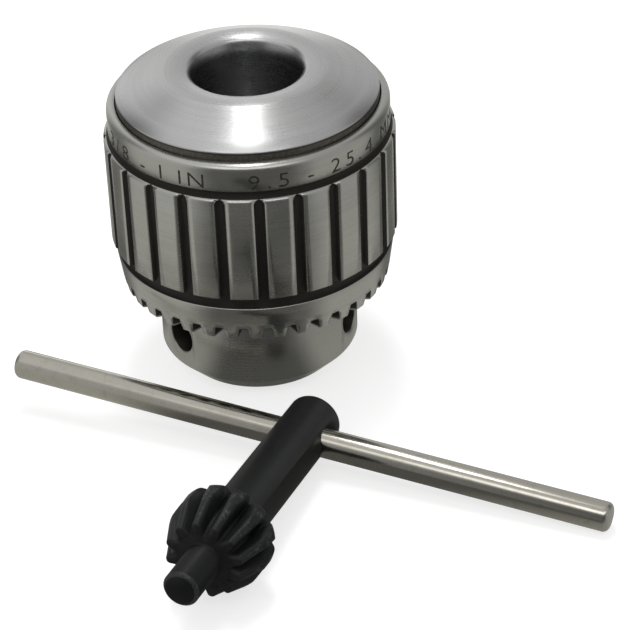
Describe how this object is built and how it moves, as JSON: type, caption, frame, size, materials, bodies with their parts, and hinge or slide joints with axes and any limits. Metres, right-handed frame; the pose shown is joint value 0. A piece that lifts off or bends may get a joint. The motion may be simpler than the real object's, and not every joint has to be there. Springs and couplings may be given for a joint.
{
  "type": "drill chuck",
  "caption": "Key-type ball-bearing drill chuck with a fluted sleeve, tapered spindle socket and angled jaws, with its T-handled bevel-gear key.",
  "frame": {"origin": "centre of the nose end face, on the surface that the chuck stands on", "axes": "+Z along the spindle axis from the nose to the taper socket; -Y towards the side seen first, with the key lying on that side"},
  "size_m": [0.1836, 0.1962, 0.1042],
  "materials": {
    "body_steel": "satin turned steel",
    "sleeve_steel": "satin ground steel, dark grooves",
    "jaw_steel": "hardened ground steel",
    "nut_steel": "oiled machined steel",
    "race_steel": "ground bearing steel",
    "ball_steel": "polished bearing steel",
    "cage_brass": "stamped brass",
    "key_black": "black oxide steel",
    "handle_nickel": "polished nickel plate"
  },
  "bodies": {
    "chuck_body": {"chuck_body": "body_steel", "bearing_race_upper": "race_steel"},
    "sleeve_assembly": {"sleeve": "sleeve_steel", "nut_half_a": "nut_steel", "nut_half_b": "nut_steel", "bearing_race_lower": "race_steel"},
    "jaw_1": {"jaw_1": "jaw_steel"},
    "jaw_2": {"jaw_2": "jaw_steel"},
    "jaw_3": {"jaw_3": "jaw_steel"},
    "ball_train": {"ball_cage": "cage_brass", "bearing_ball_01": "ball_steel", "bearing_ball_02": "ball_steel", "bearing_ball_03": "ball_steel", "bearing_ball_04": "ball_steel", "bearing_ball_05": "ball_steel", "bearing_ball_06": "ball_steel", "bearing_ball_07": "ball_steel", "bearing_ball_08": "ball_steel", "bearing_ball_09": "ball_steel", "bearing_ball_10": "ball_steel", "bearing_ball_11": "ball_steel", "bearing_ball_12": "ball_steel", "bearing_ball_13": "ball_steel", "bearing_ball_14": "ball_steel", "bearing_ball_15": "ball_steel", "bearing_ball_16": "ball_steel", "bearing_ball_17": "ball_steel", "bearing_ball_18": "ball_steel", "bearing_ball_19": "ball_steel", "bearing_ball_20": "ball_steel", "bearing_ball_21": "ball_steel", "bearing_ball_22": "ball_steel", "bearing_ball_23": "ball_steel", "bearing_ball_24": "ball_steel"},
    "key": {"key_shank": "key_black", "key_handle": "handle_nickel"}
  },
  "joints": [
    {"name": "sleeve_spin", "type": "hinge", "parent": "chuck_body", "child": "sleeve_assembly", "pos_m": [0, 0, 0.0652], "axis": [0, 0, 1], "range_deg": [0, 3721]},
    {"name": "jaw_1_slide", "type": "slide", "parent": "chuck_body", "child": "jaw_1", "axis": [-0.0328, 0.2397, -0.9703], "range_m": [0, 0.03282]},
    {"name": "jaw_2_slide", "type": "slide", "parent": "chuck_body", "child": "jaw_2", "axis": [-0.1912, -0.1483, -0.9703], "range_m": [0, 0.03282]},
    {"name": "jaw_3_slide", "type": "slide", "parent": "chuck_body", "child": "jaw_3", "axis": [0.224, -0.0914, -0.9703], "range_m": [0, 0.03282]},
    {"name": "ball_train_spin", "type": "hinge", "parent": "chuck_body", "child": "ball_train", "pos_m": [0, 0, 0.06225], "axis": [0, 0, 1], "range_deg": [0, 1862]},
    {"name": "key_lift", "type": "slide", "parent": "chuck_body", "child": "key", "axis": [0, 0, 1], "range_m": [0, 0.15]}
  ],
  "couplings": [
    {"joint": "jaw_1_slide", "follows": "sleeve_spin", "m_per_rad": 0.00050532},
    {"joint": "jaw_2_slide", "follows": "sleeve_spin", "m_per_rad": 0.00050532},
    {"joint": "jaw_3_slide", "follows": "sleeve_spin", "m_per_rad": 0.00050532},
    {"joint": "ball_train_spin", "follows": "sleeve_spin", "ratio": 0.5}
  ]
}
